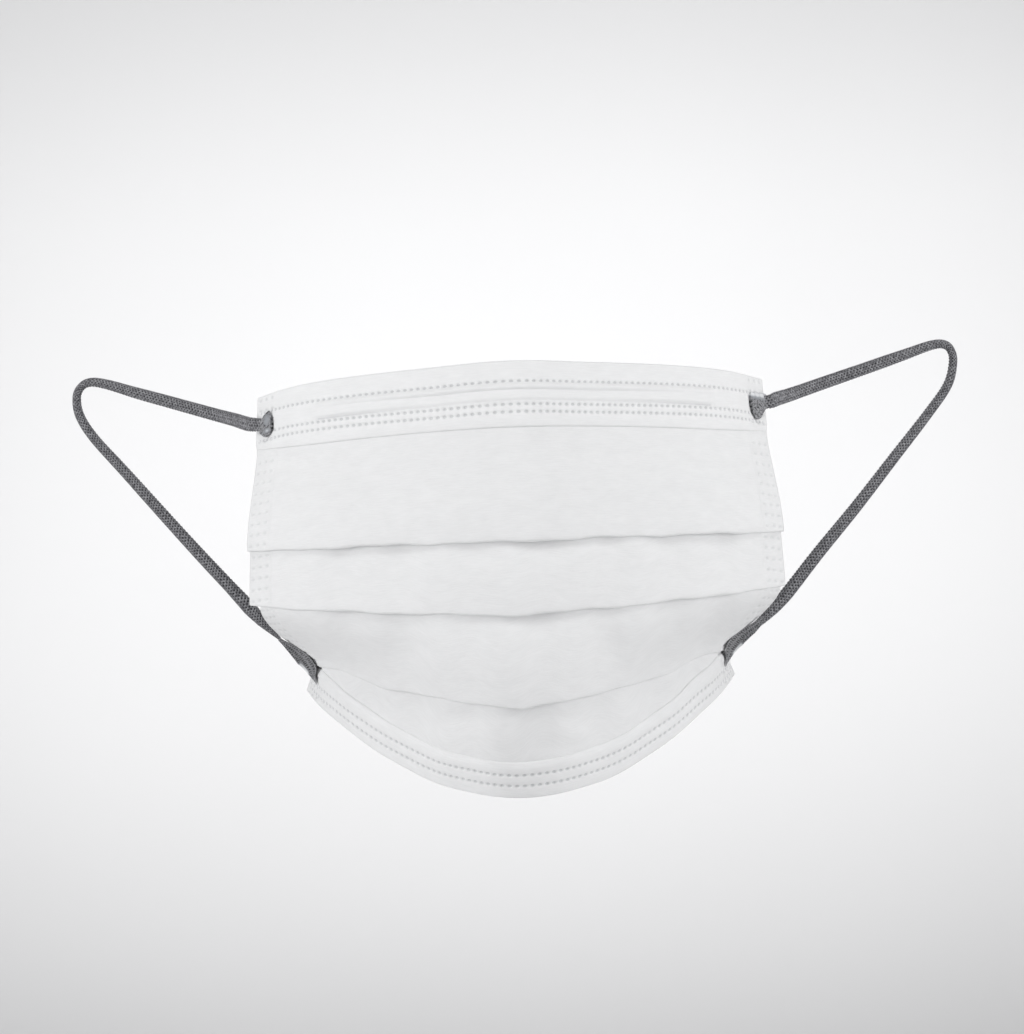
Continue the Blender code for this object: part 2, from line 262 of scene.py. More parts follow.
# %% The sheet as a smooth surface
def smooth_through(knots, values, at):
    """Smooth curves through values at knots that never swing past a value; values is (knots, places, 3)."""
    knots = np.asarray(knots, float)
    width = np.diff(knots)[:, None, None]
    slope = np.diff(values, axis=0) / width
    before, after = slope[:-1], slope[1:]
    same_way = before * after > 0
    total = np.where(same_way, before + after, 1.0)
    inner = np.where(same_way, 2.0 * before * after / total, 0.0)
    tangent = np.concatenate((slope[:1], inner, slope[-1:]))
    at = np.clip(np.asarray(at, float), knots[0], knots[-1])
    i = np.clip(np.searchsorted(knots, at, side="right") - 1, 0, len(knots) - 2)
    place = np.arange(values.shape[1]) if values.shape[1] > 1 else np.zeros(len(at), int)
    h = width[i, 0]
    t = ((at - knots[i]) / h[:, 0])[:, None]
    return (
        (1 + 2 * t) * (1 - t) ** 2 * values[i, place]
        + t * (1 - t) ** 2 * h * tangent[i, place]
        + t**2 * (3 - 2 * t) * values[i + 1, place]
        + t**2 * (t - 1) * h * tangent[i + 1, place]
    )


def level_line(row):
    """A level line from the midline to the side. It is round at the midline, except the pointed third lip."""
    values = dict(zip(LINE_COLUMNS, row))
    places = list(HEIGHT_PLACES)
    heights = [values[name] for name in ("middle", "inner", "half", "outer", "side")]
    if values["name"] != "lip_three":
        places.insert(0, -places[1])
        heights.insert(0, heights[1])
    z = -FACE_HEIGHT * smooth_through(places, np.array(heights)[:, None, None], LEVEL_SHARES)[:, 0]
    angle = np.radians(np.interp(LEVEL_SHARES, *zip(*TURN))) * values["turn"]
    step = HALF_WIDTH / LINE_STEPS
    level = np.sqrt(np.maximum(step**2 - np.diff(z) ** 2, 0.0))
    middle_angle = 0.5 * (angle[1:] + angle[:-1])
    x = np.concatenate(([0.0], np.cumsum(level * np.cos(middle_angle))))
    y = np.concatenate(([0.0], np.cumsum(level * np.sin(middle_angle))))
    return np.stack([x, y + CHIN_SETBACK * values["front"], z], axis=1)


LEVEL_SHARES = np.linspace(0.0, 1.0, LINE_STEPS + 1)
LEVEL_LINES = [level_line(row) for row in LINES]
LEVEL_DOWNS = np.array([row[1] for row in LINES])
CREASE_LEAN = 0.054
CREASE_FOOT = 0.80


def sheet(across, down):
    """Points of the outer surface. across is the signed share of the half width, down the share of the
    face height at the midline. The soft upright crease leans: it starts left of the midline."""
    lean = CREASE_LEAN * np.clip(1.0 - down / CREASE_FOOT, 0.0, 1.0)
    share = across + lean * (1.0 - np.abs(across))
    half = np.abs(share)
    crossing = np.empty((len(LEVEL_LINES), len(half), 3))
    for k, line in enumerate(LEVEL_LINES):
        for axis in range(3):
            crossing[k, :, axis] = np.interp(half, LEVEL_SHARES, line[:, axis])
    points = smooth_through(LEVEL_DOWNS, crossing, down)
    points[:, 0] *= np.sign(share)
    return points


def outward(across, down):
    """Unit normals of the outer surface, pointing away from the face."""
    along = sheet(np.minimum(across + NORMAL_STEP, 1.0), down) - sheet(np.maximum(across - NORMAL_STEP, -1.0), down)
    fall = sheet(across, np.minimum(down + NORMAL_STEP, 1.0)) - sheet(across, np.maximum(down - NORMAL_STEP, 0.0))
    normal = np.cross(fall, along)
    return normal / np.linalg.norm(normal, axis=1)[:, None]


# %% [markdown]
# ## Strips
# A strip is one upright line of the sheet, measured in metres down from the top edge. A place on the cloth
# is then a length down a strip and how far the ply's middle stands out from the sheet, its stand.

# %% Strips
CLOTH = 0.00045
PLY_PITCH_MIDDLE = 0.00085
PLY_PITCH_SIDE = 0.0005
HEM_PITCH = 0.00046
LAP_AT_MIDDLE = 0.006
LAP_AT_SIDE = 0.009
PANEL_CROWN = 0.0010
OUTER_PLY = -0.5 * CLOTH
UNDER_HEM = OUTER_PLY - HEM_PITCH
SEAL_WIDTH = 0.0098
WIRE_DROP = 0.0095
SEAT = np.array((0.0, 0.008979, -0.009771))


def soft_step(value, start, end):
    t = np.clip((value - start) / (end - start), 0.0, 1.0)
    return t * t * (3.0 - 2.0 * t)


def lip_wave(across, lip):
    """The lips aren't ruled lines: each wanders a little along its way. The third one has a small point."""
    point = 0.0010 * math.exp(-abs(across - 0.012) / 0.06) if lip == 2 else 0.0
    wave = 0.00020 * math.sin(17.0 * across + 2.1 * lip) + 0.00012 * math.sin(41.0 * across + 1.3 + lip)
    return point + wave * (1.0 - abs(across) ** 4)


class Strip:
    def __init__(self, across):
        self.across = across
        self.downs = np.linspace(0.0, 1.0, DOWN_STEPS + 1)
        line = sheet(np.full(len(self.downs), across), self.downs)
        self.lengths = np.concatenate(([0.0], np.cumsum(np.linalg.norm(np.diff(line, axis=0), axis=1))))
        self.lips = [self.length_at(lip) + lip_wave(across, k) for k, lip in enumerate(LIPS)]
        self.hem = self.length_at(LEVEL_DOWNS[1])
        self.end = self.lengths[-1]
        self.side = abs(across)
        pressed = soft_step(self.side, 0.70, 1.0 - SEAL_WIDTH / HALF_WIDTH)
        loose = PLY_PITCH_MIDDLE * (1.0 + 0.25 * math.sin(11.0 * across + 0.7) + 0.20 * math.sin(29.0 * across))
        self.pitch = loose + (PLY_PITCH_SIDE - loose) * pressed
        self.lap = LAP_AT_MIDDLE + (LAP_AT_SIDE - LAP_AT_MIDDLE) * self.side

    def length_at(self, down):
        return float(np.interp(down, self.downs, self.lengths))

    def place(self, lengths, stands, inset=0.0):
        down = np.interp(lengths, self.lengths, self.downs)
        across = self.across * (np.ones(len(down)) - inset)
        return sheet(across, down) + np.asarray(stands)[:, None] * outward(across, down) - SEAT

    def panel_stand(self, panel, length):
        """The ply of a panel: the outer one at its own lip, and the third one at the lip above it."""
        if panel == 0:
            share = np.clip((length - self.hem) / (self.lips[0] - self.hem), 0.0, 1.0)
            return UNDER_HEM + (OUTER_PLY - UNDER_HEM) * share
        lip_above = self.lips[panel - 1]
        if length < lip_above:
            return self.panel_stand(panel - 1, length) - 2.0 * self.pitch
        last = panel == len(LIPS)
        lip_below = self.end if last else self.lips[panel]
        target = UNDER_HEM if last else OUTER_PLY
        share = np.clip((length - lip_above) / (lip_below - lip_above), 0.0, 1.0)
        start = OUTER_PLY - 2.0 * self.pitch
        crown = PANEL_CROWN * (1.0 - self.side) * math.sin(math.pi * share)
        return start + (target - start) * share + crown


print("width over the cloth:", round(2.0 * Strip(1.0).place(np.array([0.06]), [0.0])[0][0], 4))

# %% [markdown]
# ## Laying cloth on the sheet
# A piece of cloth starts as a flat bmesh grid. Each column of the grid is a strip of the sheet, and each
# row is a length and a stand from a section table, so folds are rows that turn round. A second table gives
# the press: where welds squeeze the plies, the wall is thinner and the face dips. Solidify gives the wall.


# %% Laying cloth
def lay_cloth(name, columns, rows_of, press_of, finish, node, finer=None, thickness=CLOTH, inset_of=None):
    bm = bmesh.new()
    first_rows = rows_of(Strip(0.0))
    across_steps, down_steps = len(columns) - 1, len(first_rows) - 1
    bmesh.ops.create_grid(bm, x_segments=across_steps, y_segments=down_steps, size=0.5)
    if finer is not None:
        inner = 0.5 - finer / across_steps
        upright = [
            edge
            for edge in bm.edges
            if all(abs(vertex.co.x) > inner for vertex in edge.verts)
            and abs(edge.verts[0].co.x - edge.verts[1].co.x) < 1e-6
        ]
        bmesh.ops.subdivide_edges(bm, edges=upright, cuts=2)
    bm.verts.index_update()
    grid = np.array([vertex.co[:2] for vertex in bm.verts])
    column_of = np.rint((grid[:, 0] + 0.5) * across_steps).astype(int)
    row_of = (0.5 - grid[:, 1]) * down_steps
    places = np.empty((len(grid), 3))
    flat = np.empty((len(grid), 2))
    pressed, thin = np.empty(len(grid)), np.empty(len(grid))
    for column, across in enumerate(columns):
        strip = Strip(across)
        rows = np.array(rows_of(strip))
        steps = np.hypot(*np.diff(rows, axis=0).T)
        cloth_length = np.concatenate(([0.0], np.cumsum(steps)))
        mine = np.nonzero(column_of == column)[0]
        lengths = np.interp(row_of[mine], np.arange(len(rows)), rows[:, 0])
        stands = np.interp(row_of[mine], np.arange(len(rows)), rows[:, 1])
        dip, press, thin_edge = press_of(strip, lengths, row_of[mine])
        inset = 0.0 if inset_of is None else inset_of(strip, lengths, row_of[mine])
        places[mine] = strip.place(lengths, stands + dip, inset)
        flat[mine, 0] = 0.5 + 0.5 * across
        flat[mine, 1] = 1.0 - np.interp(row_of[mine], np.arange(len(rows)), cloth_length) / CLOTH_WIDTH
        pressed[mine] = press
        thin[mine] = np.maximum(press, thin_edge)
    for vertex, place in zip(bm.verts, places):
        vertex.co = Vector(place)
    return finish_cloth(name, bm, flat, thin, {"pressed": pressed}, finish, node, thickness)


def finish_cloth(name, bm, flat, thin, marks, finish, node, thickness):
    mesh = bpy.data.meshes.new(name)
    bm.to_mesh(mesh)
    bm.free()
    uv = mesh.uv_layers.new(name="flat_cloth")
    corners = np.empty(len(mesh.loops), int)
    mesh.loops.foreach_get("vertex_index", corners)
    uv.data.foreach_set("uv", flat[corners].ravel())
    write_marks(mesh, marks)
    mesh.shade_smooth()
    mesh.materials.append(finish)
    piece = bpy.data.objects.new(name, mesh)
    bpy.context.scene.collection.objects.link(piece)
    group = piece.vertex_groups.new(name="full_thickness")
    levels = np.round(np.clip(1.0 - thin, 0.0, 1.0) * 20.0) / 20.0
    for level in np.unique(levels):
        group.add(np.nonzero(levels == level)[0].tolist(), float(level), "REPLACE")
    wall = piece.modifiers.new("Wall", "SOLIDIFY")
    wall.thickness = thickness
    wall.offset = 0.0
    wall.vertex_group = group.name
    wall.thickness_vertex_group = 0.1
    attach(piece, "root")
    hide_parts(node)
    print(name, "vertices before its wall:", len(mesh.vertices))
    return piece


# %% [markdown]
# ## Weld dots
# The layers are held by rows of small ultrasonic welds, not thread. The rows keep an even pitch of almost
# two millimetres along the hems. Down each side runs a seal of three dots abreast. A dot is a small pressed
# oval, greyed partly as fused film and partly as painted shade in its dent, and the cloth puckers softly along
# each row.

# %% Weld dots
DOT_PITCH = CLOTH_WIDTH / 90.0
DOT_HALF_WIDTH = 0.00068
DOT_HALF_HEIGHT = 0.00049
DOT_DIP = 0.00013
BROW_DOT_ROWS = ((0.0056, 0.0050), (0.0117, 0.0106), (0.0137, 0.0127))
CHIN_DOT_ROWS = ((0.0070, 0.0050), (0.0038, 0.0024))
SEAL_DOT_COLUMNS = (0.0016, 0.0048, 0.0080)
SEAL_DOT_BREADTH = 1.5
SEAL_DOT_PITCH = 0.00292
SEAL_TOP = 0.0158
SEAL_DIP = 0.00018


def oval(across_off, down_off):
    """1 inside a dot and 0 outside it, with a soft rim."""
    return 1.0 - soft_step(np.hypot(across_off / DOT_HALF_WIDTH, down_off / DOT_HALF_HEIGHT), 0.55, 1.25)


def row_dots(strip, lengths, row_length):
    along = (strip.across * HALF_WIDTH / DOT_PITCH + 0.5) % 1.0 - 0.5
    inside = 1.0 - soft_step(strip.side, 0.975, 0.985)
    dots = oval(along * DOT_PITCH, lengths - row_length) * inside
    pucker = np.exp(-(((lengths - row_length) / 0.0009) ** 2)) * inside
    return dots, pucker


def seal_dots(strip, lengths):
    from_side = (1.0 - strip.side) * HALF_WIDTH
    along = (lengths / SEAL_DOT_PITCH) % 1.0 - 0.5
    dots = np.zeros(len(lengths))
    for place in SEAL_DOT_COLUMNS:
        off = np.full(len(lengths), (from_side - place) / SEAL_DOT_BREADTH)
        dots = np.maximum(dots, oval(off, along * SEAL_DOT_PITCH))
    return dots


def row_place(ends, strip):
    return ends[0] + (ends[1] - ends[0]) * strip.side**2


# %% [markdown]
# ## The body of the mask
# The body is one sheet folded three times. At each pleat it comes down to a lip, turns back up behind
# itself, and turns down again as the next panel. In the middle the folds stay soft and a little open.
# At the sides all plies are pressed flat by the seals. A few shallow dents keep it from looking stiff.

# %% Sizes of the body
EDGE_INSET = 0.5 * CLOTH + HEM_PITCH
PANEL_ROWS = (27, 17, 21)
LAST_PANEL_ROWS = 25
FOLD_TURNS = (25.0, 60.0, 90.0, 120.0, 155.0)
BODY_COLUMN = 0.0011
SEAL_COLUMN = 0.00045
SIDE_BAND = SEAL_WIDTH + 0.0010
PANEL_INSETS = {"left": 0.045, "right": 0.012}
INSET_REACH = 0.014

# Dents: signed share across, length down, reach across, reach down, tilt and depth, in metres
DENTS = (
    (-0.80, 0.0215, 0.0090, 0.0034, 0.30, 0.0010),
    (-0.58, 0.0250, 0.0130, 0.0030, 0.25, 0.0008),
    (-0.66, 0.0330, 0.0120, 0.0035, 0.12, -0.0006),
    (0.78, 0.0230, 0.0060, 0.0042, -0.35, 0.0008),
    (0.62, 0.0300, 0.0130, 0.0040, -0.10, -0.0005),
    (0.35, 0.0330, 0.0150, 0.0050, 0.05, -0.0005),
    (-0.30, 0.0390, 0.0170, 0.0045, -0.06, -0.0005),
    (0.15, 0.0250, 0.0160, 0.0050, 0.04, 0.0003),
    (-0.50, 0.0560, 0.0120, 0.0035, 0.10, 0.0004),
    (0.55, 0.0550, 0.0120, 0.0035, -0.12, 0.0004),
    (-0.12, 0.0500, 0.0080, 0.0026, 0.20, 0.0004),
    (0.30, 0.0760, 0.0100, 0.0060, 0.35, 0.0006),
    (-0.40, 0.0740, 0.0120, 0.0050, -0.25, 0.0006),
    (-0.22, 0.0935, 0.0080, 0.0030, -0.20, 0.0006),
    (0.18, 0.0945, 0.0090, 0.0030, 0.25, 0.0005),
    (0.10, 0.1020, 0.0100, 0.0040, 0.20, 0.0004),
)


def even_shares(band_start, band_end, spacing):
    count = max(2, round((band_end - band_start) / spacing))
    return list(np.linspace(band_start / HALF_WIDTH, band_end / HALF_WIDTH, count + 1))


middle_shares = even_shares(0.0, HALF_WIDTH - SIDE_BAND, BODY_COLUMN)
side_shares = even_shares(HALF_WIDTH - SIDE_BAND, HALF_WIDTH, SEAL_COLUMN)
right_shares = middle_shares + side_shares[1:]
BODY_COLUMNS = [-share for share in reversed(right_shares[1:])] + right_shares
print("columns of the body:", len(BODY_COLUMNS), "of them in each seal:", len(side_shares))


# %% The body
def fold_rows(end, stand, pitch, way):
    """The rows round a fold whose first ply ends at the given length and stand."""
    radius = 0.5 * pitch
    rows = []
    for turn in FOLD_TURNS:
        angle = math.radians(turn)
        rows.append((end + way * radius * math.sin(angle), stand - radius * (1.0 - math.cos(angle))))
    return rows


def body_rows(strip):
    rows = [(length, strip.panel_stand(0, length)) for length in np.linspace(EDGE_INSET, strip.hem, 5)[:-1]]
    start = strip.hem
    for panel, lip in enumerate(strip.lips):
        end = lip - 0.5 * strip.pitch - 0.5 * CLOTH
        for length in np.linspace(start, end, PANEL_ROWS[panel]):
            rows.append((length, strip.panel_stand(panel, length)))
        rows += fold_rows(end, rows[-1][1], strip.pitch, 1.0)
        hidden = end - strip.lap
        for length in np.linspace(end, hidden, 4):
            rows.append((length, strip.panel_stand(panel, length) - strip.pitch))
        rows += fold_rows(hidden, rows[-1][1], strip.pitch, -1.0)
        for length in np.linspace(hidden, lip, 5)[:-1]:
            rows.append((length, strip.panel_stand(panel + 1, length)))
        start = lip
    for length in np.linspace(start, strip.end - EDGE_INSET, LAST_PANEL_ROWS):
        rows.append((length, strip.panel_stand(len(LIPS), length)))
    return rows


def dents(strip, lengths):
    depth = np.zeros(len(lengths))
    for share, length, reach_across, reach_down, tilt, deep in DENTS:
        x = (strip.across - share) * HALF_WIDTH
        y = lengths - length
        along = x * math.cos(tilt) + y * math.sin(tilt)
        over = y * math.cos(tilt) - x * math.sin(tilt)
        depth += deep * np.exp(-((along / reach_across) ** 2) - (over / reach_down) ** 2)
    free = 1.0 - soft_step(strip.side, 0.86, 0.93)
    under_hem = soft_step(lengths, strip.hem - 0.001, strip.hem + 0.003)
    above_chin = 1.0 - soft_step(lengths, strip.end - 0.014, strip.end - 0.010)
    return depth * free * under_hem * above_chin


def body_press(strip, lengths, rows):
    in_seal = soft_step(strip.side, 1.0 - (SEAL_WIDTH + 0.0006) / HALF_WIDTH, 1.0 - SEAL_WIDTH / HALF_WIDTH)
    below_hem = soft_step(lengths, SEAL_TOP, SEAL_TOP + 0.001)
    dots = seal_dots(strip, lengths) * in_seal * below_hem
    ridge_place = 1.0 - (SEAL_WIDTH + 0.0012) / HALF_WIDTH
    ridge = 0.00012 * np.exp(-(((strip.side - ridge_place) * HALF_WIDTH / 0.0007) ** 2))
    dip = ridge * below_hem - 0.00010 * in_seal * below_hem - SEAL_DIP * dots - dents(strip, lengths)
    # The press thins the wall and greys the seal dots: partly fused film, partly painted shade in their dents.
    return dip, 0.10 * in_seal * below_hem + 0.42 * dots, 0.0


def panel_inset(strip, lengths, rows):
    """The edge of the third panel sets in under the second lip and comes out again further down."""
    second_lip_rows = 5 + sum(PANEL_ROWS[:2]) + 18 + 1
    behind = soft_step(rows, second_lip_rows, second_lip_rows + 8)
    fading = 1.0 - np.clip((lengths - strip.lips[1]) / INSET_REACH, 0.0, 1.0)
    return PANEL_INSETS["left" if strip.across < 0 else "right"] * behind * fading * soft_step(strip.side, 0.86, 1.0)


body = lay_cloth(
    "pleated_cloth", BODY_COLUMNS, body_rows, body_press, NONWOVEN, "mask_body",
    finer=len(side_shares) - 1, inset_of=panel_inset,
)

# %% [markdown]
# ## The hems
# A band of the same cloth is folded over the top edge and another over the bottom one. The top band is
# welded by one row of dots above the nose wire and two below it, so the wire lies in its own channel and
# raises a soft ridge. The bottom band has two rows. Rows of the grid crowd together at the dots.

# %% Sizes of the hems
BROW_RETURN = 0.0060
CHIN_HEM_WIDTH = 0.0108
CHIN_RETURN = 0.0050
LIP_CLEARANCE = 0.0010
WIRE_LENGTH = 0.120
WIRE_END = 0.5 * WIRE_LENGTH / HALF_WIDTH
WIRE_RISE = 0.0010
WIRE_TOP = 0.0076
WIRE_FOOT = 0.0103
EDGE_THINNING = 0.0012
EDGE_SINK = 0.00019
COLUMNS_PER_DOT = 6
DOT_ROW_REACH = 0.0008
DOT_ROW_STEPS = 9
HEM_TURNS = (20.0, 50.0, 80.0, 110.0, 140.0, 165.0)
HEM_COLUMNS = list(np.linspace(-1.0, 1.0, round(CLOTH_WIDTH / DOT_PITCH) * COLUMNS_PER_DOT + 1))


# %% Wire ridge and hem rows
def wire_rise(strip, lengths):
    """How far the nose wire lifts the cloth: a slope above it, a small step down at its top edge that fades
    towards the sides, a flat face and a steep drop below."""
    off = lengths + 0.0006 * strip.side**2
    slope = soft_step(off, WIRE_TOP - 0.0020, WIRE_TOP - 0.0004)
    drop = 1.0 - soft_step(off, WIRE_FOOT - 0.0004, WIRE_FOOT + 0.0005)
    in_middle = 1.0 - soft_step(strip.side, 0.25, 0.60)
    step = (0.22 + 0.38 * in_middle) * soft_step(off, WIRE_TOP - 0.0003, WIRE_TOP + 0.0003)
    past_end = (strip.side - WIRE_END) * HALF_WIDTH
    return WIRE_RISE * (slope - step) * drop * (1.0 - soft_step(past_end, -0.002, 0.003))


def hem_fold_rows(strip, panel, centre, way, back_end):
    middle = strip.panel_stand(panel, centre)
    rows = []
    for turn in HEM_TURNS:
        angle = math.radians(turn)
        rows.append((centre + way * HEM_PITCH * math.sin(angle), middle + HEM_PITCH * math.cos(angle)))
    for length in np.linspace(centre, back_end, 6):
        rows.append((length, strip.panel_stand(panel, length) - HEM_PITCH))
    return rows


def spread(stops, counts):
    lengths = [stops[0]]
    for start, end, count in zip(stops, stops[1:], counts):
        lengths += list(np.linspace(start, end, count + 1)[1:])
    return lengths


def brow_rows(strip):
    single, upper, lower = (row_place(ends, strip) for ends in BROW_DOT_ROWS)
    reach = DOT_ROW_REACH
    stops = [strip.hem, lower + reach, lower - reach, upper + reach, upper - reach]
    stops += [single + reach, single - reach, EDGE_INSET]
    lengths = spread(stops, (5, DOT_ROW_STEPS - 1, 2, DOT_ROW_STEPS - 1, 22, DOT_ROW_STEPS - 1, 7))
    rows = [(length, strip.panel_stand(0, length) + HEM_PITCH) for length in lengths]
    return rows + hem_fold_rows(strip, 0, EDGE_INSET, -1.0, EDGE_INSET + BROW_RETURN)


def chin_rows(strip):
    upper, lower = (strip.end - row_place(ends, strip) for ends in CHIN_DOT_ROWS)
    centre = strip.end - EDGE_INSET
    open_edge = min(chin_open_edge(strip), upper - DOT_ROW_REACH - 0.0003)
    reach = DOT_ROW_REACH
    stops = [open_edge, upper - reach, upper + reach, lower - reach, lower + reach, centre]
    lengths = spread(stops, (6, DOT_ROW_STEPS - 1, 4, DOT_ROW_STEPS - 1, 6))
    rows = [(length, strip.panel_stand(len(LIPS), length) + HEM_PITCH) for length in lengths]
    return rows + hem_fold_rows(strip, len(LIPS), centre, 1.0, centre - CHIN_RETURN)


def chin_open_edge(strip):
    return max(strip.end - CHIN_HEM_WIDTH, strip.lips[-1] + LIP_CLEARANCE)


# %% Press of the hems
def hem_press(strip, lengths, front, dot_rows, open_edge):
    dip = np.zeros(len(lengths))
    press = np.zeros(len(lengths))
    for row in dot_rows:
        dots, pucker = row_dots(strip, lengths, row)
        dip -= front * (DOT_DIP * dots + 0.00008 * pucker)
        # The press thins the wall and greys the dots: partly fused film, partly painted shade in their dents.
        press = np.maximum(press, dots)
    in_seal = soft_step(strip.side, 1.0 - (SEAL_WIDTH + 0.0006) / HALF_WIDTH, 1.0 - SEAL_WIDTH / HALF_WIDTH)
    side_dots = seal_dots(strip, lengths) * in_seal
    dip -= front * (0.6 * SEAL_DIP * side_dots)
    thin_edge = front * np.exp(-(((lengths - open_edge) / EDGE_THINNING) ** 2))
    dip -= EDGE_SINK * thin_edge
    return dip, np.maximum(press, 0.6 * side_dots), thin_edge


def brow_press(strip, lengths, rows):
    front = (rows < BROW_FRONT_ROWS).astype(float)
    dot_rows = [row_place(ends, strip) for ends in BROW_DOT_ROWS]
    dip, press, thin_edge = hem_press(strip, lengths, front, dot_rows, strip.hem)
    return dip + front * wire_rise(strip, lengths), press, thin_edge


def chin_press(strip, lengths, rows):
    front = (rows < CHIN_FRONT_ROWS).astype(float)
    dot_rows = [strip.end - row_place(ends, strip) for ends in CHIN_DOT_ROWS]
    return hem_press(strip, lengths, front, dot_rows, chin_open_edge(strip))


middle_strip = Strip(0.0)
BROW_FRONT_ROWS = len(brow_rows(middle_strip)) - len(HEM_TURNS) - 6
CHIN_FRONT_ROWS = len(chin_rows(middle_strip)) - len(HEM_TURNS) - 6
brow = lay_cloth("brow_band", HEM_COLUMNS, brow_rows, brow_press, HEM_CLOTH, "brow_hem")
chin = lay_cloth("chin_band", HEM_COLUMNS, chin_rows, chin_press, HEM_CLOTH, "chin_hem")

# %% [markdown]
# ## The nose wire
# The wire is a flat plastic strip with a metal core. It lies in the channel of the top band, so only its
# ridge shows. It is a narrow grid on the same strips, with rounded edges.


# %% The nose wire
def coated_plastic(name, colour):
    finish, tree, shader = new_finish(name)
    place = coordinates(tree, "Object", (1.0, 1.0, 1.0))
    cloudy = noise_on(tree, place, 220.0, 3.0)
    pale = tuple(min(1.0, channel * 1.06) for channel in colour)
    tree.links.new(ramp(tree, cloudy, ((0.35, colour), (0.65, pale))), shader.inputs["Base Color"])
    shader.inputs["Roughness"].default_value = 0.42
    relief(tree, shader, cloudy, 0.00005, 0.4)
    return finish


WIRE_WIDTH = 0.0034
WIRE_THICKNESS = 0.0007
WIRE_STAND = UNDER_HEM + 0.5 * CLOTH + 0.5 * WIRE_THICKNESS + 0.00005
WIRE_PLASTIC = coated_plastic("wire_plastic", (0.74, 0.75, 0.76))
wire_shares = list(np.linspace(-WIRE_END, WIRE_END, 121))


def wire_rows(strip):
    places = np.linspace(-0.5, 0.5, 9) * WIRE_WIDTH + WIRE_DROP - 0.0006
    return [(length, WIRE_STAND) for length in places]


def wire_press(strip, lengths, rows):
    rim = np.abs(rows / 8.0 - 0.5) * 2.0
    return np.zeros(len(rows)), np.zeros(len(rows)), 0.8 * rim**4


wire = lay_cloth(
    "nose_wire_strip", wire_shares, wire_rows, wire_press, WIRE_PLASTIC, "nose_wire",
    thickness=WIRE_THICKNESS,
)

# %% [markdown]
# ## The knitted loops
# Each loop is a fine knitted tube, flattened a little where it is welded and pulled narrow where it turns
# round the ear. Columns of V-shaped stitches run along it, with dark gaps between the columns. The route is
# that of the solid. The tube is a grid that is rolled up round the route and joined at its seam.

# %% Routes of the loops
LOOP_LEFT = (
    (-0.0694, 0.0492, -0.0031),
    (-0.0711, 0.0527, -0.0026),
    (-0.0744, 0.0590, -0.0014),
    (-0.0805, 0.0670, 0.0005),
    (-0.0920, 0.0740, 0.0042),
    (-0.1021, 0.0790, 0.0074),
    (-0.1106, 0.0830, 0.0102),
    (-0.1150, 0.0850, 0.0109),
    (-0.1177, 0.0860, 0.0097),
    (-0.1190, 0.0860, 0.0068),
    (-0.1182, 0.0850, 0.0017),
    (-0.1143, 0.0830, -0.0046),
    (-0.1063, 0.0800, -0.0138),
    (-0.0973, 0.0770, -0.0243),
    (-0.0868, 0.0740, -0.0365),
    (-0.0760, 0.0710, -0.0487),
    (-0.0696, 0.0690, -0.0560),
    (-0.0644, 0.0665, -0.0613),
    (-0.0601, 0.0636, -0.0654),
    (-0.0572, 0.0607, -0.0687),
    (-0.0562, 0.0577, -0.0701),
)
LOOP_RIGHT = (
    (0.0696, 0.0495, -0.0021),
    (0.0713, 0.0530, -0.0014),
    (0.0752, 0.0592, -0.0003),
    (0.0835, 0.0670, 0.0023),
    (0.0971, 0.0745, 0.0065),
    (0.1083, 0.0795, 0.0100),
    (0.1156, 0.0835, 0.0123),
    (0.1193, 0.0850, 0.0126),
    (0.1214, 0.0860, 0.0111),
    (0.1220, 0.0860, 0.0076),
    (0.1201, 0.0850, 0.0012),
    (0.1138, 0.0830, -0.0070),
    (0.1043, 0.0800, -0.0181),
    (0.0935, 0.0770, -0.0308),
    (0.0821, 0.0740, -0.0435),
    (0.0730, 0.0715, -0.0541),
    (0.0674, 0.0690, -0.0596),
    (0.0629, 0.0665, -0.0631),
    (0.0595, 0.0637, -0.0661),
    (0.0572, 0.0607, -0.0687),
    (0.0562, 0.0577, -0.0701),
)

# Half width and half thickness of the tube, in metres, against the share of its length
LOOP_SHAPE = (
    (0.00, 0.00130, 0.00020),
    (0.012, 0.00175, 0.00030),
    (0.03, 0.00190, 0.00065),
    (0.05, 0.00195, 0.00095),
    (0.12, 0.00180, 0.00125),
    (0.28, 0.00165, 0.00130),
    (0.36, 0.00135, 0.00130),
    (0.395, 0.00115, 0.00130),
    (0.44, 0.00130, 0.00130),
    (0.60, 0.00155, 0.00125),
)
LOOP_TAILS = {
    "left": (
        (0.800, 0.00175, 0.00120),
        (0.845, 0.00200, 0.00110),
        (0.872, 0.00155, 0.00090),
        (0.895, 0.00090, 0.00060),
        (0.914, 0.00040, 0.00040),
        (1.000, 0.00035, 0.00035),
    ),
    "right": (
        (0.850, 0.00185, 0.00115),
        (0.880, 0.00160, 0.00095),
        (0.900, 0.00125, 0.00070),
        (0.920, 0.00100, 0.00050),
        (1.000, 0.00045, 0.00040),
    ),
}
# The pressed start: share across, how far it drops below the route's first point, stand over the band
PRESSED_STARTS = {
    "left": ((0.938, 0.0006, 0.0003), (0.966, 0.0004, 0.0006)),
    "right": ((0.950, 0.0008, 0.0003), (0.985, 0.0004, 0.0004)),
}


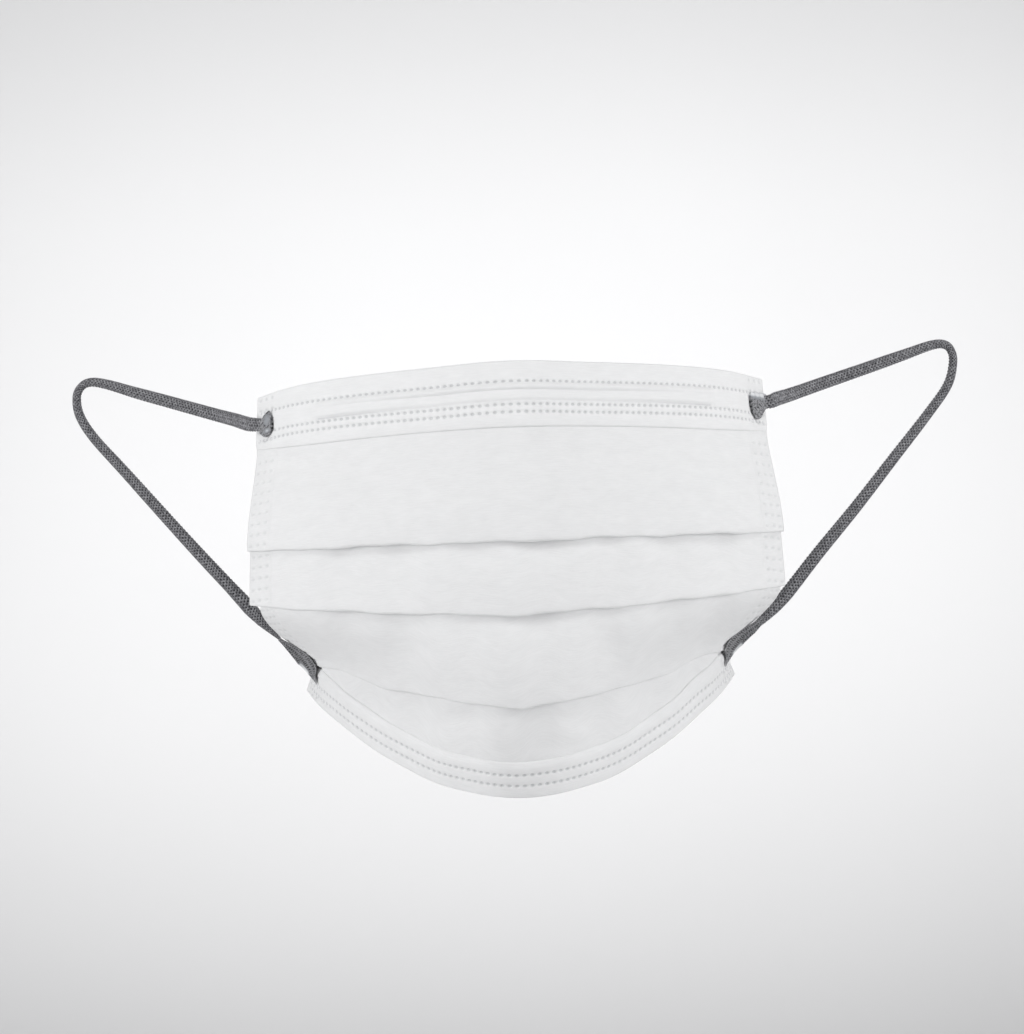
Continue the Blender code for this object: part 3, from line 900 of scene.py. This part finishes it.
# %% Loop geometry
def smooth_route(points, spacing):
    """Even points on a smooth curve through a route's own points."""
    points = np.array(points)
    padded = np.vstack((2 * points[0] - points[1], points, 2 * points[-1] - points[-2]))
    t = np.linspace(0.0, 1.0, 24, endpoint=False)[:, None]
    fine = []
    for a, b, c, d in zip(padded, padded[1:], padded[2:], padded[3:]):
        square = 2 * a - 5 * b + 4 * c - d
        cube = 3 * b - a - 3 * c + d
        fine.append(0.5 * (2 * b + (c - a) * t + square * t**2 + cube * t**3))
    fine = np.vstack(fine + [points[-1:]])
    lengths = np.concatenate(([0.0], np.cumsum(np.linalg.norm(np.diff(fine, axis=0), axis=1))))
    even = np.linspace(0.0, lengths[-1], round(lengths[-1] / spacing) + 1)
    return np.stack([np.interp(even, lengths, fine[:, axis]) for axis in range(3)], axis=1), lengths[-1]


RING_SPACING = 0.00016
ROUND_STEPS = 70
WALES = 7
STITCH = 0.00100
YARN_RELIEF = 0.00010
PIT_DEPTH = 0.00028


def knitting(round_share, along, outer):
    """Pits and yarn of the knitting. A pit lies between two columns of stitches and, half a stitch on,
    in the notch of each V. Along the outer side of the loop runs a smooth selvedge."""
    wale = (round_share * WALES) % 1.0
    off = np.abs(wale - 0.5) * 2.0
    beat = 2.0 * math.pi * along / STITCH
    between = np.exp(-(((1.0 - off) / 0.36) ** 2)) * (0.5 + 0.5 * np.cos(beat)) ** 1.5
    notch = np.exp(-((off / 0.36) ** 2)) * (0.5 - 0.5 * np.cos(beat)) ** 1.5
    from_outer = np.abs((round_share - outer + 0.5) % 1.0 - 0.5)
    knitted_part = soft_step(from_outer, 0.045, 0.095)
    seam = np.exp(-(((from_outer - 0.085) / 0.016) ** 2))
    pits = np.clip(np.maximum(between, notch) * knitted_part + 0.55 * seam, 0.0, 1.0)
    yarn = np.cos(beat + math.pi * off) * knitted_part
    # The second value is the stitch mark, which the finish uses to paint painted shade into the pits.
    return YARN_RELIEF * yarn - PIT_DEPTH * pits, 1.0 - pits


def pressed_start(side_name, route):
    start = []
    for share, drop, stand in PRESSED_STARTS[side_name]:
        strip = Strip(math.copysign(share, route[0][0]))
        tries = np.linspace(0.014, 0.002, 25)
        heights = strip.place(tries, np.zeros(len(tries)))[:, 2]
        length = float(np.interp(route[0][2] - drop, heights, tries))
        ground = strip.panel_stand(0, length) + HEM_PITCH + 0.5 * CLOTH
        start.append(tuple(strip.place(np.array([length]), [ground + stand])[0]))
    return start


def knit_tube(side_name, route, phase, outer):
    """The cord runs in over its upper pad by a few millimetres, where it is pressed flat."""
    rings, length = smooth_route(pressed_start(side_name, route) + list(route), RING_SPACING)
    tangent = np.gradient(rings, axis=0)
    tangent /= np.linalg.norm(tangent, axis=1)[:, None]
    broad = np.cross(tangent, (0.0, 1.0, 0.0))
    broad /= np.linalg.norm(broad, axis=1)[:, None]
    thick = np.cross(broad, tangent)
    share = np.linspace(0.0, 1.0, len(rings))
    table = np.array(LOOP_SHAPE + LOOP_TAILS[side_name])
    half_width = np.interp(share, table[:, 0], table[:, 1])
    half_thick = np.interp(share, table[:, 0], table[:, 2])
    bm = bmesh.new()
    bmesh.ops.create_grid(bm, x_segments=ROUND_STEPS, y_segments=len(rings) - 1, size=0.5)
    bm.verts.index_update()
    grid = np.array([vertex.co[:2] for vertex in bm.verts])
    ring = np.rint((0.5 - grid[:, 1]) * (len(rings) - 1)).astype(int)
    round_share = grid[:, 0] + 0.5
    turn = 2.0 * math.pi * round_share
    along = share[ring] * length
    wander = 0.00018 * np.sin(along / 0.0031 + phase) + 0.00012 * np.sin(along / 0.0013 + 2.0 * phase)
    twist = 0.010 * np.sin(along / 0.011 + phase)
    height, stitch = knitting((round_share + twist) % 1.0, along + wander, outer + twist)
    fade = np.minimum(soft_step(along, 0.0, 0.001), 1.0 - soft_step(along, length - 0.001, length))
    height = height * fade - 0.00005
    out = broad[ring] * np.cos(turn)[:, None] * (half_width[ring] + height)[:, None]
    out += thick[ring] * np.sin(turn)[:, None] * (half_thick[ring] + height)[:, None]
    places = rings[ring] + out
    layer = bm.verts.layers.float.new("stitch")
    for vertex, place, value in zip(bm.verts, places, stitch):
        vertex.co = Vector(place)
        vertex[layer] = value
    bmesh.ops.remove_doubles(bm, verts=bm.verts, dist=0.000002)
    ends = [edge for edge in bm.edges if edge.is_boundary]
    bmesh.ops.holes_fill(bm, edges=ends, sides=0)
    bmesh.ops.recalc_face_normals(bm, faces=bm.faces)
    name, node = f"knit_loop_{side_name}", f"ear_loop_{side_name}"
    return finish_tube(name, bm, ELASTIC, node), length


def finish_tube(name, bm, finish, node):
    mesh = bpy.data.meshes.new(name)
    bm.to_mesh(mesh)
    bm.free()
    mesh.shade_smooth()
    mesh.materials.append(finish)
    piece = bpy.data.objects.new(name, mesh)
    bpy.context.scene.collection.objects.link(piece)
    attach(piece, "root")
    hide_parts(node)
    print(name, "faces:", len(mesh.polygons))
    return piece


# %% [markdown]
# ## Knitted elastic
# The yarn is dark grey and a little cool. The tops of the stitches catch the light. The pits between them are
# painted almost black as painted shade, so the colour follows the stitch mark of the mesh as well as a fine noise.


# %% Knitted elastic
def knitted(name, yarn, dark_yarn, pit):
    finish, tree, shader = new_finish(name)
    place = coordinates(tree, "Object", (1.0, 1.0, 1.0))
    fluff = noise_on(tree, place, 1300.0, 3.0, 0.7)
    yarn_colour = ramp(tree, fluff, ((0.38, dark_yarn), (0.60, yarn)))
    # Painted shade: the pits of the stitch mark are coloured almost black.
    pit_shade_mask = ramp(tree, mark(tree, "stitch"), ((0.25, (1.0, 1.0, 1.0)), (0.85, (0.0, 0.0, 0.0))))
    tree.links.new(blend(tree, pit_shade_mask, yarn_colour, pit), shader.inputs["Base Color"])
    shader.inputs["Roughness"].default_value = 0.78
    shader.inputs["Sheen Weight"].default_value = 0.25
    shader.inputs["Sheen Roughness"].default_value = 0.4
    relief(tree, shader, fluff, 0.00008, 0.9)
    return finish


# The last colour is painted shade for the pits.
ELASTIC = knitted("knitted_elastic", (0.320, 0.320, 0.338), (0.115, 0.115, 0.125), (0.018, 0.018, 0.021))
loop_left, left_length = knit_tube("left", LOOP_LEFT, phase=0.4, outer=0.5)
loop_right, right_length = knit_tube("right", LOOP_RIGHT, phase=1.9, outer=0.0)

# %% [markdown]
# ## The welded ends
# The ends of the loops are pressed flat on to the bands and half melted. Where the plastic has run, a pad is
# smooth, pale and a little blue, and elsewhere it is still knitted, with painted shade in its pits. The two upper
# pads have their own shapes, traced as the lengths of their top and bottom rims at a row of shares across.


# %% Melted elastic
CLEAR_FILM = (0.80, 0.81, 0.83)


def melted(name, yarn, pit, skin):
    finish, tree, shader = new_finish(name)
    place = coordinates(tree, "Object", (1.0, 1.0, 1.0))
    fluff = noise_on(tree, place, 1900.0, 2.0, 0.6)
    dark_yarn = tuple(0.35 * channel for channel in yarn)
    yarn_colour = ramp(tree, fluff, ((0.38, dark_yarn), (0.60, yarn)))
    # Painted shade: the pits of the stitch mark are coloured almost black.
    pit_shade_mask = ramp(tree, mark(tree, "stitch"), ((0.25, (1.0, 1.0, 1.0)), (0.85, (0.0, 0.0, 0.0))))
    knit_colour = blend(tree, pit_shade_mask, yarn_colour, pit)
    run = ramp(tree, mark(tree, "melt"), ((0.15, (0.0, 0.0, 0.0)), (0.50, (1.0, 1.0, 1.0))))
    clear = ramp(tree, mark(tree, "melt"), ((0.60, skin), (0.95, CLEAR_FILM)))
    tree.links.new(blend(tree, run, knit_colour, clear), shader.inputs["Base Color"])
    tree.links.new(ramp(tree, run, ((0.0, (0.7, 0.7, 0.7)), (1.0, (0.38, 0.38, 0.38)))), shader.inputs["Roughness"])
    relief(tree, shader, fluff, 0.00008, 0.8)
    return finish


# The second colour is painted shade for the pits.
MELTED = melted("melted_elastic", (0.340, 0.342, 0.358), (0.016, 0.016, 0.019), (0.330, 0.345, 0.370))
PAD_STEPS = 60
PAD_WALL = 0.0007
PAD_LIFT = 0.00015
PIT_PITCH = 0.00080
PAD_PIT_ACROSS = 0.0032
PAD_PIT_DOWN = 0.0014

# Share of the half width, and the lengths down to the top and to the bottom rim, in metres
UPPER_PADS = {
    "left": (
        (0.895, 0.0088, 0.0100),
        (0.898, 0.0077, 0.0110),
        (0.905, 0.0060, 0.0118),
        (0.914, 0.0052, 0.0122),
        (0.926, 0.0054, 0.0125),
        (0.941, 0.0060, 0.0122),
        (0.953, 0.0067, 0.0116),
        (0.963, 0.0072, 0.0110),
    ),
    "right": (
        (0.893, 0.0062, 0.0088),
        (0.896, 0.0056, 0.0100),
        (0.903, 0.0051, 0.0113),
        (0.911, 0.0050, 0.0120),
        (0.920, 0.0049, 0.0126),
        (0.935, 0.0049, 0.0125),
        (0.950, 0.0048, 0.0119),
        (0.966, 0.0047, 0.0107),
        (0.980, 0.0046, 0.0096),
        (0.997, 0.0046, 0.0086),
    ),
}
# Where the plastic has run: share, length, reach across, reach down, in metres after the share, and how far
MELT_SPOTS = {
    "left": (
        (0.920, 0.0078, 0.0019, 0.0018, 0.55),
        (0.918, 0.0108, 0.0015, 0.0007, 0.80),
        (0.943, 0.0112, 0.0008, 0.0005, 0.55),
    ),
    "right": (
        (0.905, 0.0056, 0.0030, 0.0012, 1.00),
        (0.935, 0.0055, 0.0035, 0.0012, 1.00),
        (0.965, 0.0054, 0.0035, 0.0012, 1.00),
        (0.992, 0.0054, 0.0020, 0.0014, 0.95),
    ),
}


def pad_marks(side_name, share, lengths):
    """The stitch and melt marks of a pad: a staggered lattice of pits, smooth where the plastic has run."""
    x = share * HALF_WIDTH
    wander = 0.00022 * np.sin(lengths / 0.0007 + x / 0.0009) + 0.00018 * math.sin(x / 0.0005)
    across_wave = np.cos(2.0 * math.pi * (x + wander) / PAD_PIT_ACROSS)
    lattice = across_wave * np.cos(2.0 * math.pi * (lengths + wander) / PAD_PIT_DOWN)
    pits = np.clip(lattice * 1.8 - 0.1, 0.0, 1.0)
    melt = np.zeros(len(lengths))
    for spot_share, length, reach_across, reach_down, most in MELT_SPOTS[side_name]:
        across_off = (share - spot_share) * HALF_WIDTH / reach_across
        melt = np.maximum(melt, most * np.exp(-(across_off**2) - ((lengths - length) / reach_down) ** 2))
    # The stitch mark also paints painted shade into the pits.
    return 1.0 - pits * (1.0 - melt), melt


def upper_pad(side_name, side):
    bm = bmesh.new()
    bmesh.ops.create_grid(bm, x_segments=PAD_STEPS, y_segments=PAD_STEPS, size=0.5)
    bm.verts.index_update()
    grid = np.array([vertex.co[:2] for vertex in bm.verts])
    places = np.empty((len(grid), 3))
    stitch, melt, thin = (np.empty(len(grid)) for _ in range(3))
    flat = grid + 0.5
    columns = np.rint(flat[:, 0] * PAD_STEPS).astype(int)
    table = np.array(UPPER_PADS[side_name])
    for column in range(PAD_STEPS + 1):
        t = column / PAD_STEPS
        share = table[0, 0] + (table[-1, 0] - table[0, 0]) * t**1.5
        strip = Strip(side * share)
        mine = np.nonzero(columns == column)[0]
        v = 2.0 * flat[mine, 1] - 1.0
        top, bottom = (np.interp(share, table[:, 0], table[:, k]) for k in (1, 2))
        lengths = 0.5 * (top + bottom) - 0.5 * (bottom - top) * v
        ground = np.array([strip.panel_stand(0, length) for length in lengths]) + HEM_PITCH + 0.5 * CLOTH
        stitch[mine], melt[mine] = pad_marks(side_name, share, lengths)
        edge = np.maximum(np.abs(v), 1.0 - 8.0 * t if t < 0.125 else 0.0)
        thin[mine] = np.clip(edge**8, 0.0, 1.0)
        rim = 0.00012 * np.exp(-(((edge - 0.86) / 0.10) ** 2))
        sink = 0.00016 * (1.0 - stitch[mine]) + 0.00010 * melt[mine]
        places[mine] = strip.place(lengths, ground + PAD_LIFT + 0.5 * PAD_WALL + rim - sink)
    for vertex, place in zip(bm.verts, places):
        vertex.co = Vector(place)
    if side < 0:
        bmesh.ops.reverse_faces(bm, faces=bm.faces)
    marks = {"stitch": stitch, "melt": melt}
    name, node = f"weld_pad_{side_name}_upper", f"loop_weld_{side_name}_upper"
    return finish_cloth(name, bm, flat, thin, marks, MELTED, node, PAD_WALL)


# %% [markdown]
# ## The lower ends
# Below, each cord comes round the side edge between the second and third pleat. Its flattened end lies over
# the corner like a leaf and runs down to a point. A sliver of melted plastic shows along its outer side.

# %% Lower ends
LEAF_STEPS = 110
LEAF_ROUND = 40
# Middle line of each leaf and its half width in the front view, in metres
LOWER_LEAVES = {
    "left": (
        (-0.0638, 0.0463, -0.0606, 0.00040),
        (-0.0626, 0.0472, -0.0616, 0.00070),
        (-0.0614, 0.0487, -0.0627, 0.00110),
        (-0.0597, 0.0506, -0.0644, 0.00156),
        (-0.0579, 0.0533, -0.0665, 0.00199),
        (-0.0565, 0.0558, -0.0689, 0.00129),
        (-0.0555, 0.0536, -0.0710, 0.00065),
        (-0.0548, 0.0511, -0.0722, 0.00032),
        (-0.0544, 0.0499, -0.0731, 0.00006),
    ),
    "right": (
        (0.0652, 0.0446, -0.0595, 0.00054),
        (0.0635, 0.0468, -0.0613, 0.00108),
        (0.0619, 0.0485, -0.0627, 0.00146),
        (0.0600, 0.0503, -0.0641, 0.00173),
        (0.0583, 0.0525, -0.0658, 0.00183),
        (0.0569, 0.0550, -0.0679, 0.00129),
        (0.0560, 0.0558, -0.0699, 0.00075),
        (0.0552, 0.0528, -0.0713, 0.00038),
        (0.0548, 0.0513, -0.0725, 0.00006),
    ),
}
# Turn of the cloth against the front view along the leaf, and how steeply its outer half folds back
LEAF_TURNS = (62.0, 77.0)
OUTER_FOLD = 1.0
LEAF_HALF_THICK = 0.00030
# The inner edge runs out further over the cloth where the lowest pleat ends
FOOT_AT, FOOT_REACH, FOOT_WIDTH = 0.66, 0.13, 0.00100
SLIVER = (0.46, 0.70)


def lower_leaf(side_name, side):
    table = np.array(LOWER_LEAVES[side_name])
    rings, length = smooth_route(table[:, :3], 0.0001)
    picks = np.rint(np.linspace(0, len(rings) - 1, LEAF_STEPS + 1)).astype(int)
    rings = rings[picks]
    tangent = np.gradient(rings, axis=0)
    broad = np.stack([-tangent[:, 2], np.zeros(len(rings)), tangent[:, 0]], axis=1)
    broad /= np.linalg.norm(broad, axis=1)[:, None]
    turned = np.radians(np.interp(np.linspace(0.0, 1.0, len(rings)), (0.0, 0.6), LEAF_TURNS))
    thick = np.stack([side * np.sin(turned), -np.cos(turned), np.zeros(len(rings))], axis=1)
    bm = bmesh.new()
    bmesh.ops.create_grid(bm, x_segments=LEAF_ROUND, y_segments=LEAF_STEPS, size=0.5)
    bm.verts.index_update()
    grid = np.array([vertex.co[:2] for vertex in bm.verts])
    ring = np.rint((0.5 - grid[:, 1]) * LEAF_STEPS).astype(int)
    turn = 2.0 * math.pi * (grid[:, 0] + 0.5)
    share = ring / LEAF_STEPS
    chords = np.concatenate(([0.0], np.cumsum(np.linalg.norm(np.diff(table[:, :3], axis=0), axis=1))))
    half_width = np.interp(share, chords / chords[-1], table[:, 3])
    half_thick = LEAF_HALF_THICK * np.minimum(1.0, half_width / 0.0009)
    outward_side = np.cos(turn) * side
    foot = FOOT_WIDTH * np.exp(-(((share - FOOT_AT) / FOOT_REACH) ** 2)) * (outward_side < 0.0)
    half_width = half_width + foot
    lattice = np.cos(2.0 * math.pi * share * length / PIT_PITCH) * np.cos(turn * 4.0)
    pits = np.clip(lattice * 1.6 - 0.2, 0.0, 1.0) * (1.0 - soft_step(share, 0.78, 0.92))
    in_sliver = soft_step(share, SLIVER[0], SLIVER[0] + 0.08) * (1.0 - soft_step(share, SLIVER[1], SLIVER[1] + 0.08))
    melt = in_sliver * soft_step(outward_side, 0.25, 0.6)
    pits *= 1.0 - melt
    depth = 0.00014 * pits
    aside = broad[ring] * (np.cos(turn) * (half_width - depth))[:, None]
    aside[:, 1] = side * aside[:, 0] * np.where(outward_side > 0.0, OUTER_FOLD, np.tan(turned[ring]))
    places = rings[ring] + aside
    places += thick[ring] * (np.sin(turn) * (half_thick - depth))[:, None]
    stitch_layer = bm.verts.layers.float.new("stitch")
    melt_layer = bm.verts.layers.float.new("melt")
    for vertex, place, pit, run in zip(bm.verts, places, pits, melt):
        vertex.co = Vector(place)
        # The stitch mark paints painted shade into the pits.
        vertex[stitch_layer] = 1.0 - pit
        vertex[melt_layer] = run
    bmesh.ops.remove_doubles(bm, verts=bm.verts, dist=0.000002)
    bmesh.ops.holes_fill(bm, edges=[edge for edge in bm.edges if edge.is_boundary], sides=0)
    bmesh.ops.recalc_face_normals(bm, faces=bm.faces)
    return finish_tube(
        f"weld_pad_{side_name}_lower", bm, MELTED, f"loop_weld_{side_name}_lower"
    )


for side_name, side in (("left", -1.0), ("right", 1.0)):
    upper_pad(side_name, side)
    lower_leaf(side_name, side)

# %% [markdown]
# ## Floor and light
# The floor is pale and far below, and rises into a round cove, so that every side has the same plain
# ground. Two large soft lights stand left and right in front, and a third hangs above. The middle of the
# mask faces between them, so it is a shade deeper than its cheeks.

# %% Floor
COVE_RADIUS = 3.0
FLOOR_HEIGHT = -0.56


def make_floor():
    bm = bmesh.new()
    profile = [(0.02, 0.0), (1.4, 0.0), (2.2, 0.0)]
    for turn in range(5, 91, 5):
        angle = math.radians(turn)
        profile.append((2.2 + 0.8 * math.sin(angle), 0.8 * (1.0 - math.cos(angle))))
    profile.append((COVE_RADIUS, 2.6))
    points = [bm.verts.new((radius, 0.0, FLOOR_HEIGHT + height)) for radius, height in profile]
    edges = [bm.edges.new(pair) for pair in zip(points, points[1:])]
    bmesh.ops.spin(
        bm, geom=points + edges, cent=(0, 0, 0), axis=(0, 0, 1), angle=2.0 * math.pi, steps=72, use_merge=True
    )
    bmesh.ops.holes_fill(bm, edges=[edge for edge in bm.edges if edge.is_boundary], sides=100)
    top = [face for face in bm.faces if len(face.verts) > 8 and face.calc_center_median().z > 1.0]
    bmesh.ops.delete(bm, geom=top, context="FACES_ONLY")
    bmesh.ops.recalc_face_normals(bm, faces=bm.faces)
    mesh = bpy.data.meshes.new("studio_floor")
    bm.to_mesh(mesh)
    bm.free()
    mesh.shade_smooth()
    floor = bpy.data.objects.new("studio_floor", mesh)
    bpy.context.scene.collection.objects.link(floor)
    return floor


def paper(name):
    finish, tree, shader = new_finish(name)
    place = coordinates(tree, "Object", (1.0, 1.0, 1.0))
    cloudy = noise_on(tree, place, 1.5, 2.0)
    tree.links.new(ramp(tree, cloudy, ((0.3, (0.66, 0.66, 0.665)), (0.7, (0.68, 0.68, 0.685)))), shader.inputs["Base Color"])
    shader.inputs["Roughness"].default_value = 0.9
    return finish


floor = make_floor()
floor.data.materials.append(paper("studio_paper"))


# %% Lights
def soft_light(name, place, target, size, power):
    data = bpy.data.lights.new(name, "AREA")
    data.shape = "RECTANGLE"
    data.size, data.size_y = size
    data.energy = power
    lamp = bpy.data.objects.new(name, data)
    lamp.location = place
    lamp.rotation_euler = (Vector(target) - Vector(place)).to_track_quat("-Z", "Y").to_euler()
    lamp.visible_camera = False
    bpy.context.scene.collection.objects.link(lamp)
    return lamp


MASK_MIDDLE = (0.0, 0.03, -0.04)
soft_light("light_left", (-1.50, -0.60, 0.16), MASK_MIDDLE, (0.8, 1.1), 14.0)
soft_light("light_right", (1.50, -0.60, 0.16), MASK_MIDDLE, (0.8, 1.1), 13.5)
soft_light("light_above", (0.0, -0.90, 1.35), MASK_MIDDLE, (1.2, 0.6), 8.5)
soft_light("light_low", (0.0, -0.90, -0.50), MASK_MIDDLE, (1.2, 0.1), 0.7)
soft_light("light_ground", (0.0, 2.35, 0.14), (0.0, 3.0, 0.10), (1.2, 0.15), 5.9)


world = bpy.data.worlds.new("studio")
world.use_nodes = True
sky = world.node_tree.nodes["Background"]
sky.inputs["Color"].default_value = (1.0, 1.0, 1.0, 1.0)
sky.inputs["Strength"].default_value = 0.35
bpy.context.scene.world = world

# %% [markdown]
# ## Developed lengths of the cloth and paths of the cords
# The body is a sheet, cut as wide as the mask and as long as its developed section. The hems are narrower
# sheets. The loops are free cords that start and end at the welds.

# %% Developed lengths and cord paths
def developed(rows_of):
    rows = np.array(rows_of(middle_strip))
    return float(np.hypot(*np.diff(rows, axis=0).T).sum())


round(developed(body_rows), 3)
round(developed(brow_rows), 3)
round(developed(chin_rows), 3)
for piece, route, length, side_name in (
    (loop_left, LOOP_LEFT, left_length, "left"),
    (loop_right, LOOP_RIGHT, right_length, "right"),
):
    path = smooth_route(pressed_start(side_name, route) + list(route), 0.003)[0]
